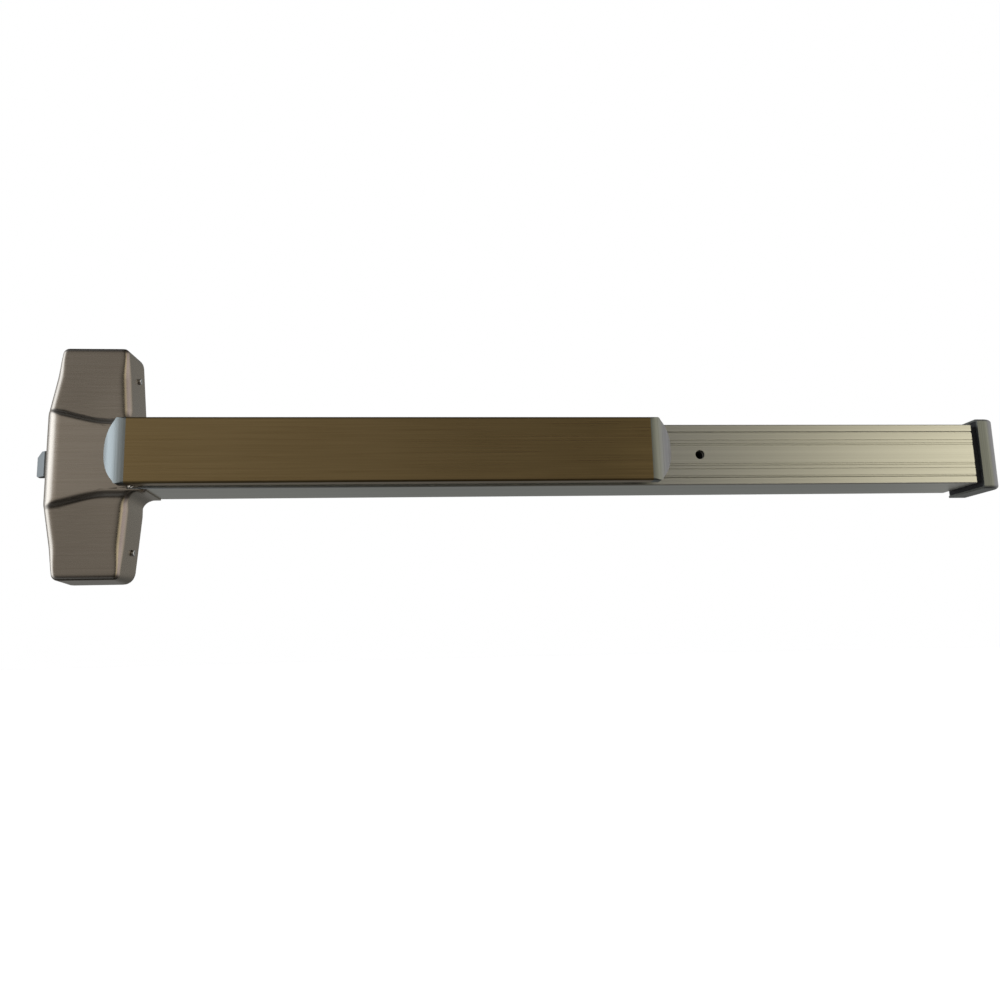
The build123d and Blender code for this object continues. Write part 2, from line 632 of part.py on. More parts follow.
def make_pad_end_cap():
    """A domed end cap at the pad's left end, drawn from X = 0, with a tenon into the pad."""
    form = pad_cap_form(0) & prism_x(channel_section(0), -40, 0)
    hollow = pad_cap_form(1.8) & block(-PAD_CAP_LENGTH + 3, -3, -60, -90, -25.5, 25.5)
    h = PAD_HALF_HEIGHT - PAD_SHEET - 0.1
    seat = -CARRIER_FRONT + CARRIER_PLATE
    tenon = block(-4, PAD_TENON, seat, seat + 2.2, -h, h)
    for z in (-15.0, 15.0):
        tenon = tenon - rod_y(1.6, -90, -60, 6, z)
    return form - hollow + tenon


# ---------------------------------------------------------------- linkage
def crank_pin_place(side, arm, angle):
    """Where a pin sits at rest, on an arm at an angle (degrees) from the crank's pivot."""
    a = radians(angle + CRANK_SWING / 2)
    return CRANK_X[side] + arm * cos(a), -CRANK_DEPTH + arm * sin(a)


def pad_pin(side):
    return crank_pin_place(side, PAD_ARM, 180)


def rod_pin(side):
    return crank_pin_place(side, ROD_ARM, 90)


def make_bell_crank(side):
    """Two side plates joined by a hub that turns on the pivot pin."""
    px, py = CRANK_X[side], -CRANK_DEPTH
    ax, ay = pad_pin(side)
    bx, by = rod_pin(side)
    plan = hull((px, py, 6.5), (ax, ay, 4.2)) + hull((px, py, 6.5), (bx, by, 4.2))
    plate = prism_z(plan, CRANK_INNER, CRANK_OUTER)
    crank = both_z(plate) + rod_z(5.5, -CRANK_OUTER - 1.2, CRANK_OUTER + 1.2, px, py)
    crank = crank - rod_z(PIVOT_RADIUS + RUNNING_FIT, -20, 20, px, py)
    for x, y in ((ax, ay), (bx, by)):
        crank = crank - rod_z(PIN_RADIUS, -20, 20, x, y)
    return crank


def make_crank_pin(place):
    return rod_z(PIN_RADIUS, -CRANK_OUTER - 0.7, CRANK_OUTER + 0.7, *place)


def make_crank_bracket(side):
    """U-shaped bracket riveted to the rail's back wall."""
    px, py = CRANK_X[side], -CRANK_DEPTH
    base = block(px - 15, px + 15, -RAIL_BACK, -RAIL_BACK - 2.5, -17, 17)
    base = fillet([e for e in base.edges() if abs(e.tangent_at(0.5).Y) > 0.9], 3.0)
    foot = -RAIL_BACK - 1.0
    plan = hull((px, py, 6.0), (px - 14, foot - 1, 1.0), (px + 14, foot - 1, 1.0))
    cheek = prism_z(plan, CHEEK_INNER, CHEEK_INNER + CHEEK)
    bracket = base + both_z(cheek) - rod_z(PIVOT_RADIUS, -30, 30, px, py)
    for dx, z in CRANK_RIVETS:
        bracket = bracket - rod_y(2.0, 1, -9, px + dx, z)
    return bracket


def make_pivot_pin(side):
    """Headed pin pressed through both cheeks of a crank bracket."""
    px, py = CRANK_X[side], -CRANK_DEPTH
    outer = CHEEK_INNER + CHEEK
    pin = rod_z(PIVOT_RADIUS, -outer - 0.8, outer, px, py) + rod_z(4.6, outer, outer + 1.6, px, py)
    return fillet(pin.edges().group_by(Axis.Z)[-1], 0.6)


def make_crank_rivets():
    return as_group(*[
        rivet_y(x + dx, z, -RAIL_BACK - 2.5, -0.2) for x in CRANK_X.values() for dx, z in CRANK_RIVETS
    ])


def lug_x(side):
    """Middle of the lug's slot, which the pad pin crosses as the crank swings."""
    return CRANK_X[side] - PAD_ARM * (1 + cos(radians(CRANK_SWING / 2))) / 2


def lug_rivets(side):
    return [(lug_x(side) + dx, z) for dx in (-9.0, 9.0) for z in (-8.0, 8.0)]


def make_pad_lug(side):
    """T-shaped lug: a flange on the carrier and a slotted blade between the crank's plates."""
    x, seat = lug_x(side), -CARRIER_FRONT + CARRIER_PLATE
    flange = block(x - 13, x + 13, seat, seat + 2.5, -12, 12)
    pin_x, pin_y = pad_pin(side)
    blade = block(x - 6.5, x + 6.5, seat + 2.5, pin_y + 4.6, -ROD_HALF_THICKNESS, ROD_HALF_THICKNESS)
    play = PAD_ARM * (1 - cos(radians(CRANK_SWING / 2))) / 2
    r = PIN_RADIUS + SLOT_GAP
    slot = prism_z(hull((x - play, pin_y, r), (x + play, pin_y, r)), -9, 9)
    lug = flange + blade - slot
    for rx, rz in lug_rivets(side):
        lug = lug - rod_y(1.6, -90, -50, rx, rz)
    return lug


def make_pad_lug_rivets():
    back = -CARRIER_FRONT + CARRIER_PLATE + 2.5
    rivets = []
    for side in CRANK_X:
        for x, z in lug_rivets(side):
            tail = rod_y(1.6, -CARRIER_FRONT + 0.2, back, x, z)
            rivets.append(tail + rod_y(2.8, back, back + 1.2, x, z))
    return as_group(*rivets)


def make_actuating_rod():
    """Flat bar with a cross slot at each crank and a catch that stands up at its far end."""
    y0, y1 = -LATCH_DEPTH + ROD_HALF_DEPTH, -LATCH_DEPTH - ROD_HALF_DEPTH
    profile = outline([
        (ROD_START, y0), (ROD_END, y0), (ROD_END, -HOOK_FRONT - 3), (ROD_END - CATCH, -HOOK_FRONT - 3),
        (ROD_END - CATCH, y1), (ROD_START, y1),
    ])
    rod = prism_z(profile, -ROD_HALF_THICKNESS, ROD_HALF_THICKNESS)
    r = PIN_RADIUS + SLOT_GAP
    for side in CRANK_X:
        x, y = rod_pin(side)
        deep = -CRANK_DEPTH + ROD_ARM
        rod = rod - prism_z(hull((x, y, r), (x, deep, r)), -9, 9)
    for x in YOKE_RIVETS:
        rod = rod - rod_z(1.6, -9, 9, x, -LATCH_DEPTH)
    return rod - rod_z(1.0, -9, 9, COLLAR_X, -LATCH_DEPTH)


def make_rod_yoke():
    """Fork that pulls the latch pin, yet lets the latch bolt be pushed in on its own."""
    y0, y1 = -LATCH_DEPTH + ROD_HALF_DEPTH, -LATCH_DEPTH - ROD_HALF_DEPTH
    cheek = block(CASE_RIGHT + 1.2, ROD_START - 1, y0, y1, YOKE_INNER, YOKE_OUTER)
    boss = block(ROD_START - 1, 61, y0, y1, -YOKE_OUTER, YOKE_OUTER)
    yoke = both_z(cheek) + boss
    grip = block(ROD_START, 62, y0 + 1, y1 - 1, -ROD_HALF_THICKNESS, ROD_HALF_THICKNESS)
    r = LATCH_PIN_RADIUS + SLOT_GAP
    slot = hull((LATCH_PIN_X, -LATCH_DEPTH, r), (LATCH_PIN_X + ROD_TRAVEL, -LATCH_DEPTH, r))
    yoke = yoke - grip - prism_z(slot, -20, 20)
    for x in YOKE_RIVETS:
        yoke = yoke - rod_z(1.6, -20, 20, x, -LATCH_DEPTH)
    return yoke


def make_rod_yoke_rivets():
    return as_group(*[
        rod_z(1.6, -YOKE_OUTER - 0.8, YOKE_OUTER + 0.8, x, -LATCH_DEPTH) for x in YOKE_RIVETS
    ])


def make_spring_collar():
    """Block pinned on the rod; the return spring pushes it towards the latch."""
    y0, y1 = -LATCH_DEPTH + 8.5, -LATCH_DEPTH - 8.5
    collar = block(COLLAR_X - COLLAR_LENGTH / 2, COLLAR_X + COLLAR_LENGTH / 2, y0, y1, -8, 8)
    collar = fillet([e for e in collar.edges() if abs(e.tangent_at(0.5).X) > 0.9], 2.5)
    hole = block(0, 400, -LATCH_DEPTH + ROD_HALF_DEPTH, -LATCH_DEPTH - ROD_HALF_DEPTH,
                 -ROD_HALF_THICKNESS, ROD_HALF_THICKNESS)
    return collar - hole - rod_z(1.0, -9, 9, COLLAR_X, -LATCH_DEPTH)


def make_collar_pin():
    return rod_z(1.0, -8, 8, COLLAR_X, -LATCH_DEPTH)


def make_return_spring():
    start = COLLAR_X + COLLAR_LENGTH / 2 + 0.8
    length = GUIDE_X[1] - GUIDE_LENGTH / 2 - 0.8 - start
    return coil(7.4, 1.4, length, 12, start, -LATCH_DEPTH, 0)


def make_rod_guides():
    """Nylon blocks that the rod slides through."""
    guides = []
    for x in GUIDE_X:
        half = GUIDE_LENGTH / 2
        body = block(x - half, x + half, -RAIL_BACK, -LATCH_DEPTH - 9.5, -8.5, 8.5)
        foot = block(x - half, x + half, -RAIL_BACK, -RAIL_BACK - 2.5, -17.5, 17.5)
        gap_z, gap_y = ROD_HALF_THICKNESS + 0.3, ROD_HALF_DEPTH + 0.3
        hole = block(x - 9, x + 9, -LATCH_DEPTH - gap_y, -LATCH_DEPTH + gap_y, -gap_z, gap_z)
        guide = body + foot - hole
        for z in (-GUIDE_RIVET_Z, GUIDE_RIVET_Z):
            guide = guide - rod_y(2.0, 1, -9, x, z)
        guides.append(guide)
    return as_group(*guides)


def make_rod_guide_rivets():
    return as_group(*[
        rivet_y(x, z, -RAIL_BACK - 2.5, -0.2, head=2.9)
        for x in GUIDE_X for z in (-GUIDE_RIVET_Z, GUIDE_RIVET_Z)
    ])


# ---------------------------------------------------------------- dogging


def make_dogging_bracket():
    """C-shaped bracket behind the filler plate that carries the dogging shaft."""
    y_front, y_back = FILLER_BACK, -FLANGE_REAR + 2
    front = block(DOG_X - 14, 562, y_front, y_front + 2, -14, 14)
    web = block(560, 562, y_front, y_back, -14, 14)
    rear = block(DOG_X - 5, 562, y_back, y_back - 2, -14, 14)
    bracket = front + web + rear
    bracket = bracket - rod_y(DOG_JOURNAL + RUNNING_FIT, y_front - 1, y_front + 3, DOG_X, 0)
    return bracket - rod_y(REAR_JOURNAL + RUNNING_FIT, y_back + 1, y_back - 3, DOG_X, 0)


def make_dogging_shaft():
    """Shaft with a hexagon socket at the front; the hook sits on its square seat."""
    front = FILLER_BACK + 0.3
    journal = rod_y(DOG_JOURNAL, front, -HOOK_FRONT, DOG_X, 0)
    collar = rod_y(6.0, -COLLAR_FRONT, -COLLAR_FRONT + 3, DOG_X, 0)
    square = block(DOG_X - 2.6, DOG_X + 2.6, -HOOK_FRONT, -HOOK_REAR, -2.6, 2.6)
    tail = rod_y(REAR_JOURNAL, -HOOK_REAR, -15.2, DOG_X, 0)
    socket = prism_y(Pos(DOG_X, 0) * RegularPolygon(2.3, 6), front + 7, front - 1)
    groove = rod_y(REAR_JOURNAL + 1, -17.4, -16.4, DOG_X, 0) - rod_y(1.9, -18, -16, DOG_X, 0)
    return journal + collar + square + tail - socket - groove


def make_dogging_hook():
    """Curved hook: turned to the latch side it holds the rod's catch in the pressed place."""
    ring = Circle(HOOK_OUTER) - Circle(HOOK_INNER)
    sector = outline([(0, 0)] + [
        (30 * cos(radians(a)), 30 * sin(radians(a))) for a in (235, 255, 280, 305, 320)
    ])
    web = outline([(0, 0)] + [(30 * cos(radians(a)), 30 * sin(radians(a))) for a in (297, 308, 320)])
    profile = (ring & sector) + (Circle(HOOK_OUTER) & web) + Circle(5.6)
    hook = prism_y(Pos(DOG_X, 0) * profile, -HOOK_REAR, -HOOK_FRONT)
    return hook - block(DOG_X - 2.6, DOG_X + 2.6, -HOOK_FRONT - 1, -HOOK_REAR + 1, -2.6, 2.6)


def make_retaining_ring():
    ring = rod_y(4.2, -17.3, -16.5, DOG_X, 0) - rod_y(1.9, -18, -16, DOG_X, 0)
    return ring - block(DOG_X - 8, DOG_X - 1.4, -18, -16, -1.2, 1.2)


# ---------------------------------------------------------------- build
def place_left_cap(cap):
    return Pos(PAD_LEFT, 0, 0) * cap


def place_right_cap(cap):
    return Pos(PAD_RIGHT, 0, 0) * mirror(cap, about=Plane.YZ)


def make_pad_end_screws():
    """Screws through the carrier's ends into the caps' tenons."""
    back = -CARRIER_FRONT + CARRIER_PLATE + 2.2
    screws = []
    for x, z in PAD_END_SCREWS:
        screws.append(rod_y(1.6, -CARRIER_FRONT + 0.2, back, x, z) + rod_y(2.8, back, back + 1.6, x, z))
    return as_group(*screws)


parts = {
    "chassis_plate": make_chassis_plate(),
    "latch_case": make_latch_case(),
    "latch_case_screws": make_latch_case_screws(),
    "head_cover": make_head_cover(),
    "head_cover_screws": make_head_cover_screws(),
    "latch_bolt": make_latch_bolt(),
    "latch_pin": make_latch_pin(),
    "latch_spring": make_latch_spring(),
    "rail_bracket": make_rail_bracket(),
    "rail_bracket_screws": make_rail_bracket_screws(),
    "rail_channel": make_rail_channel(),
    "filler_plate": make_filler_plate(),
    "end_bracket": make_end_bracket(),
    "end_bracket_screws": make_end_bracket_screws(),
    "rail_end_seal": make_rail_end_seal(),
    "end_cap": make_end_cap(),
    "end_cap_screws": make_end_cap_screws(),
    "pad_cover": make_pad_cover(),
    "pad_carrier": make_pad_carrier(),
    "pad_end_screws": make_pad_end_screws(),
    "pad_lug_rivets": make_pad_lug_rivets(),
    "crank_bracket_rivets": make_crank_rivets(),
    "actuating_rod": make_actuating_rod(),
    "rod_yoke": make_rod_yoke(),
    "rod_yoke_rivets": make_rod_yoke_rivets(),
    "spring_collar": make_spring_collar(),
    "spring_collar_pin": make_collar_pin(),
    "rod_return_spring": make_return_spring(),
    "rod_guides": make_rod_guides(),
    "rod_guide_rivets": make_rod_guide_rivets(),
    "dogging_bracket": make_dogging_bracket(),
    "dogging_shaft": make_dogging_shaft(),
    "dogging_hook": make_dogging_hook(),
    "dogging_retaining_ring": make_retaining_ring(),
}
pad_end_cap = make_pad_end_cap()
parts["left_pad_end_cap"] = place_left_cap(pad_end_cap)
parts["right_pad_end_cap"] = place_right_cap(pad_end_cap)
for side in CRANK_X:
    parts[f"{side}_pad_lug"] = make_pad_lug(side)
    parts[f"{side}_bell_crank"] = make_bell_crank(side)
    parts[f"{side}_crank_pad_pin"] = make_crank_pin(pad_pin(side))
    parts[f"{side}_crank_rod_pin"] = make_crank_pin(rod_pin(side))
    parts[f"{side}_crank_bracket"] = make_crank_bracket(side)
    parts[f"{side}_crank_pivot_pin"] = make_pivot_pin(side)

os.makedirs("parts", exist_ok=True)
for name, shape in parts.items():
    export_step(shape, f"parts/{name}.step")
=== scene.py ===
import json
import math

import bmesh
import bpy
from mathutils import Matrix, Vector


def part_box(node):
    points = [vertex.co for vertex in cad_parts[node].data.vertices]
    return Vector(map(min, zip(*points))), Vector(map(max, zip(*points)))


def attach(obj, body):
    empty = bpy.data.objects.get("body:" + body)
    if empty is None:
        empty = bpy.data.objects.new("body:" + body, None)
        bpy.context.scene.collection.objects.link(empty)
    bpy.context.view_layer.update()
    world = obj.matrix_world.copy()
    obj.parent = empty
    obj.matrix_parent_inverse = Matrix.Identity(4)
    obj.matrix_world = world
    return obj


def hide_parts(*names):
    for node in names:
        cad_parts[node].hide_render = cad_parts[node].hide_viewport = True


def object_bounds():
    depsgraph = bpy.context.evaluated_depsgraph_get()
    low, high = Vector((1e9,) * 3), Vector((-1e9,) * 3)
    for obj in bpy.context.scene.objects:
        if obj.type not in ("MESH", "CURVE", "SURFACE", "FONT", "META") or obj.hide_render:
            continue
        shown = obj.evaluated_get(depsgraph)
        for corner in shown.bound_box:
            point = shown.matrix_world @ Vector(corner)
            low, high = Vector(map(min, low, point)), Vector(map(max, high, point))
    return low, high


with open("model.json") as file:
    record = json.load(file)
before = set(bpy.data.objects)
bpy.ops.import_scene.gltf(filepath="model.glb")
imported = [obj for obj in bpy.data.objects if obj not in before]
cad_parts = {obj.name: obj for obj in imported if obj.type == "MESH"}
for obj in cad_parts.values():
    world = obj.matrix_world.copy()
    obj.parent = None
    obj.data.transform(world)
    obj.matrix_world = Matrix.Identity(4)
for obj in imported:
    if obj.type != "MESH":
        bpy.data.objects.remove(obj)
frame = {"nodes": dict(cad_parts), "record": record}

CAD_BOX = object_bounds()
NODES = frame["nodes"]
MM = 0.001


# ---------------------------------------------------------------- shader maths
class Field:
    """A shader socket that takes part in Python expressions."""

    def __init__(self, finish, socket):
        self.finish = finish
        self.socket = socket

    def _math(self, operation, first, second):
        return self.finish.node("ShaderNodeMath", {"operation": operation}, {0: first, 1: second})

    def __add__(self, other):
        return self._math("ADD", self, other)

    __radd__ = __add__

    def __sub__(self, other):
        return self._math("SUBTRACT", self, other)

    def __rsub__(self, other):
        return self._math("SUBTRACT", other, self)

    def __mul__(self, other):
        return self._math("MULTIPLY", self, other)

    __rmul__ = __mul__


class Finish:
    """A procedural material: one Principled shader and the nodes that vary it."""

    def __init__(self, name, **uniform):
        self.material = bpy.data.materials.new(name)
        self.material.use_nodes = True
        self.tree = self.material.node_tree
        self.shader = self.tree.nodes["Principled BSDF"]
        for socket, value in uniform.items():
            self.shader.inputs[socket.replace("_", " ")].default_value = value
        self.place = self.node("ShaderNodeTexCoord", {}, {}, "Object")

    def node(self, kind, settings, sockets, output=0):
        made = self.tree.nodes.new(kind)
        for key, value in settings.items():
            setattr(made, key, value)
        for key, value in sockets.items():
            self._feed(made.inputs[key], value)
        return Field(self, made.outputs[output])

    def _feed(self, socket, value):
        if isinstance(value, Field):
            self.tree.links.new(value.socket, socket)
        else:
            socket.default_value = value

    def set(self, socket, value):
        self._feed(self.shader.inputs[socket], value)

    def noise(self, scale, detail=3.0, stretch=(1, 1, 1), roughness=0.5):
        """Noise whose grain is long along the axes with a small stretch value."""
        place = self.node("ShaderNodeMapping", {}, {"Vector": self.place, "Scale": stretch})
        sockets = {"Vector": place, "Scale": scale, "Detail": detail, "Roughness": roughness}
        return self.node("ShaderNodeTexNoise", {}, sockets)

    def blend(self, field, low, high):
        """A colour between two colours or links."""
        return self.node("ShaderNodeMix", {"data_type": "RGBA"},
                         {0: field, 6: self._colour(low), 7: self._colour(high)}, 2)

    def _colour(self, value):
        return value if isinstance(value, Field) else (*value, 1)

    def bump(self, height, strength, distance):
        """Feeds a bump into the shader's normal."""
        sockets = {"Strength": strength, "Distance": distance, "Height": height}
        normal = self.node("ShaderNodeBump", {}, sockets)
        self.set("Normal", normal)


# Noise is drawn out along the axis that the metal is brushed in.
GRAIN = {"X": (0.006, 1, 1), "Z": (1, 1, 0.006)}
EXTRUDED_GRAIN = (0.001, 1, 1)


def brushed(name, dark, light, along, roughness=0.3, relief=0.1):
    """Metal brushed along one axis: hairline streaks, a faint wider drift and handling marks."""
    finish = Finish(name, Metallic=1.0)
    hair = finish.noise(2600, 2, GRAIN[along])
    line = finish.noise(800, 2, GRAIN[along])
    cloud = finish.noise(11, 3)
    tone = hair * 0.45 + line * 0.35 + cloud * 0.2
    contrast = finish.node("ShaderNodeMapRange", {}, {"Value": tone, "From Min": 0.33, "From Max": 0.67})
    finish.set("Base Color", finish.blend(contrast, dark, light))
    finish.set("Roughness", roughness + (line - 0.5) * 0.16 + (cloud - 0.5) * 0.1)
    finish.bump(hair * 0.5 + line * 0.5, relief, 0.00006)
    return finish.material


def extruded(name, dark, light, roughness=0.3):
    """Satin anodised extrusion: long die lines and a soft drift of tone."""
    finish = Finish(name, Metallic=1.0)
    lines = finish.noise(1400, 2, EXTRUDED_GRAIN)
    wide = finish.noise(300, 2, EXTRUDED_GRAIN)
    cloud = finish.noise(5, 2)
    tone = lines * 0.5 + wide * 0.35 + cloud * 0.15
    contrast = finish.node("ShaderNodeMapRange", {}, {"Value": tone, "From Min": 0.3, "From Max": 0.7})
    finish.set("Base Color", finish.blend(contrast, dark, light))
    finish.set("Roughness", roughness + (lines - 0.5) * 0.08 + (cloud - 0.5) * 0.04)
    finish.bump(lines, 0.06, 0.00006)
    return finish.material


def plated(name, dark, light, roughness=0.35, metallic=1.0, size=60, relief=0.1):
    """Plated, cast or drawn metal, and plain mouldings: cloudy tone and a fine tooth."""
    finish = Finish(name, Metallic=metallic)
    cloud = finish.noise(size, 4)
    tooth = finish.noise(size * 30, 2)
    finish.set("Base Color", finish.blend(cloud, dark, light))
    finish.set("Roughness", roughness + (cloud - 0.5) * 0.25)
    finish.bump(tooth, relief, 0.0002)
    return finish.material


FINISHES = {
    "head_steel": brushed("head_steel", (0.355, 0.3, 0.24), (0.425, 0.365, 0.295), "X", 0.28, 0.02),
    "pad_bronze": brushed("pad_bronze", (0.255, 0.175, 0.075), (0.35, 0.247, 0.115), "X", 0.3, 0.08),
    "rail_aluminium": extruded("rail_aluminium", (0.64, 0.625, 0.57), (0.8, 0.785, 0.72)),
    "satin_alloy": brushed("satin_alloy", (0.17, 0.178, 0.166), (0.28, 0.29, 0.272), "Z", 0.4, 0.06),
    "cast_alloy": plated("cast_alloy", (0.25, 0.25, 0.24), (0.42, 0.42, 0.41), 0.5),
    "latch_steel": plated("latch_steel", (0.11, 0.11, 0.102), (0.17, 0.17, 0.158), 0.45),
    "spring_steel": plated("spring_steel", (0.12, 0.12, 0.13), (0.26, 0.26, 0.27), 0.3),
    "nylon": plated("nylon", (0.62, 0.6, 0.52), (0.74, 0.72, 0.64), 0.5, metallic=0.0),
    # The near-black moulding at the rail's end is painted shade: its colour stands in for the dark shadow
    # gap between the rail and the end cap.
    "black_moulding": plated("black_moulding", (0.004,) * 3, (0.012,) * 3, 0.6, metallic=0.0),
    "screw_steel": plated("screw_steel", (0.5, 0.5, 0.48), (0.74, 0.74, 0.72), 0.3),
    "zinc_plated_steel": plated("zinc_plated_steel", (0.36, 0.36, 0.34), (0.58, 0.58, 0.55), 0.38),
}
# The shaft is painted near black, far darker than zinc plate: painted shade, so that the keyhole in front
# of it reads as a dark hole.
NODE_PAINTED_SHADE = {
    "dogging_shaft": plated("shaft_painted_shade", (0.008, 0.008, 0.007), (0.02, 0.02, 0.018), 0.6),
}


def finish_cad_nodes():
    """Gives every CAD node the procedural finish of its material slot, or its own override (the dogging
    shaft's near-black painted shade).
    """
    for row in frame["record"]["subparts"]:
        finish = NODE_PAINTED_SHADE.get(row["node"], FINISHES[row["material_slot"]])
        for slot in NODES[row["node"]].material_slots:
            slot.material = finish


finish_cad_nodes()


# ---------------------------------------------------------------- head cover
# Lengths in mm, in the frame of the part: x along the bar, z up, depth out from the door.
COVER_HALF_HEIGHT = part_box("head_cover")[1][2] / MM
COVER_FRONT_HALF_HEIGHT = COVER_HALF_HEIGHT - 1.7
WAIST_HALF = 45.0
RIGHT_BACK, RIGHT_FRONT = (36.3, 31.4), (35.7, 28.4)     # at the waist and at the ends
LEFT_BACK, LEFT_FRONT = (34.4, 30.6), (33.9, 27.9)
BAND_SWELL = 1.0                # how much further the band stands out to the left
BAND_DEPTH, FACET_DEPTH, FACET_END_DEPTH = 52.0, 48.0, 35.4
CREASE_LEFT, CREASE_RIGHT, CREASE_WIDTH = 40.6, 31.0, 6.5
CREASE_SPAN = (-36.0, 20.0)
NECK_HALF, NECK_END, NECK_FLARE = 29.3, 52.0, 11.0
FACET_ROUND, BAND_ROUND, NECK_ROUND, END_ROUND = 8.0, 14.0, 4.5, 4.5
BACK_CORNER, FRONT_CORNER = 10.0, 5.5
END_TAPER = 26.0                # over which a side's edge radius shrinks to the end's
SHEET = 1.4
SPINE_X, SPINE_HALF = -3.0, 72.0
LEVEL_STEP = 1.1
NECK_LIP = 0.03                 # height over which the neck's reach jumps from its flare to its end
NECK_ROWS = (-0.28, -0.04, 0.0, 0.01, 0.02, 0.03, 0.12, 0.28)     # extra rows about the neck's corner
NECK_CLEAR = 0.3                # evenly spaced rows nearer the corner than this are left out
NECK_FADE_START, NECK_FADE = 2.0, 14.0     # how far above the corner the neck's edge radius gives way
CORNER_EASE = 0.6               # keeps an end corner's centre inside the tapering side
CORNER_STEPS, ACROSS_STEPS = 7, 24
WALL_RINGS, EDGE_RINGS, FRONT_RINGS = 9, 9, 14
LATCH_SLACK, RAIL_SLACK = 0.8, 0.05
SHARP_ANGLE = 38                # degrees


def ease(t):
    t = min(max(t, 0.0), 1.0)
    return t * t * (3 - 2 * t)


def crease_height(x):
    """Half height of the two creases, which close in towards the pad."""
    start, end = CREASE_SPAN
    return CREASE_LEFT + (CREASE_RIGHT - CREASE_LEFT) * ease((x - start) / (end - start))


def band_share(x, z):
    """1 on the raised band and 0 on the facets: a tight foot and a soft crown between them."""
    t = (crease_height(x) - abs(z)) / CREASE_WIDTH + 0.5
    t = min(max(t, 0.0), 1.0)
    crown = 1 - (1 - t) ** 2
    return ease(t) * 0.35 + crown * 0.65


def cover_depth(x, z):
    """How far the cover's front stands off the door."""
    crease = crease_height(x)
    slope = (FACET_DEPTH - FACET_END_DEPTH) / (COVER_FRONT_HALF_HEIGHT - crease)
    facet = min(FACET_DEPTH - slope * (abs(z) - crease), BAND_DEPTH)
    share = band_share(x, z)
    return facet * (1 - share) + BAND_DEPTH * share


def side_x(z, widths, half_height):
    waist, end = widths
    run = max(abs(z) - WAIST_HALF, 0) / (half_height - WAIST_HALF)
    return waist + (end - waist) * run


def neck_x(z):
    """The neck's reach at a height: its flare is a quarter circle, then it runs along the rail."""
    rise = abs(z) - NECK_HALF
    if rise > NECK_FLARE:
        return 0.0
    corner = RIGHT_FRONT[0] + NECK_FLARE
    if rise > NECK_LIP:
        return corner - math.sqrt(max(NECK_FLARE ** 2 - (NECK_FLARE - rise) ** 2, 0.0))
    if rise > 0:
        return corner + (NECK_END - corner) * (1 - rise / NECK_LIP)
    return NECK_END


def neck_levels():
    """Heights of the rows up the right side, close together round the neck's corner."""
    top = COVER_FRONT_HALF_HEIGHT - FRONT_CORNER
    count = round(top / LEVEL_STEP)
    rows = [top * i / count for i in range(count + 1)]
    rows = [z for z in rows if abs(z - NECK_HALF) > NECK_CLEAR]
    rows = sorted(rows + [NECK_HALF + d for d in NECK_ROWS])
    return [-z for z in reversed(rows) if z > 0] + rows


def plain_levels():
    """As many heights as neck_levels, evenly spaced, for the left side and the spine."""
    top = COVER_FRONT_HALF_HEIGHT - FRONT_CORNER
    last = len(neck_levels()) - 1
    return [top * (2 * i / last - 1) for i in range(last + 1)]


def side_round(z, middle):
    """The edge radius up one side: it tapers into the end corners."""
    left = COVER_FRONT_HALF_HEIGHT - FRONT_CORNER - abs(z)
    return END_ROUND + (middle - END_ROUND) * ease(left / END_TAPER)


def corner_arc(x, z, radius, first, last):
    """Points round an end corner about its centre, between two angles in degrees."""
    steps = [math.radians(first + (last - first) * i / CORNER_STEPS) for i in range(1, CORNER_STEPS)]
    return [(x + radius * math.cos(a), z + radius * math.sin(a)) for a in steps]


def cover_outline(right, left, half_height, corner):
    """The outline as (x, z, edge radius, height on the spine), alike at the back and the front."""
    scale = (half_height - corner) / (COVER_FRONT_HALF_HEIGHT - FRONT_CORNER)
    across = [i / ACROSS_STEPS for i in range(ACROSS_STEPS + 1)]
    x_right = side_x(half_height, right, half_height) - corner
    x_left = -side_x(half_height, left, half_height) + corner
    z_corner = half_height - corner
    loop = []

    def add_corner(x, z, first, last, spine_z):
        loop.extend((x, z, END_ROUND, spine_z) for x, z in corner_arc(x, z, corner, first, last))

    for z, spine_z in zip(neck_levels(), plain_levels()):
        height = z if abs(z) < WAIST_HALF else z * scale
        x = max(side_x(height, right, half_height), neck_x(z))
        off_neck = ease((abs(z) - NECK_HALF - NECK_FADE_START) / NECK_FADE)
        loop.append((x, height, NECK_ROUND + (side_round(z, FACET_ROUND) - NECK_ROUND) * off_neck, spine_z))
    add_corner(x_right + CORNER_EASE, z_corner, 0, 90, SPINE_HALF)
    for t in across:
        loop.append((x_right + (x_left - x_right) * t, half_height, END_ROUND, SPINE_HALF))
    add_corner(x_left - CORNER_EASE, z_corner, 90, 180, SPINE_HALF)
    for z in reversed(plain_levels()):
        height = z if abs(z) < WAIST_HALF else z * scale
        share = band_share(-LEFT_BACK[0], z)
        x = -side_x(height, left, half_height) - BAND_SWELL * share
        loop.append((x, height, side_round(z, FACET_ROUND + (BAND_ROUND - FACET_ROUND) * share), z))
    add_corner(x_left - CORNER_EASE, -z_corner, 180, 270, -SPINE_HALF)
    for t in across:
        loop.append((x_left + (x_right - x_left) * t, -half_height, END_ROUND, -SPINE_HALF))
    add_corner(x_right + CORNER_EASE, -z_corner, 270, 360, -SPINE_HALF)
    return loop


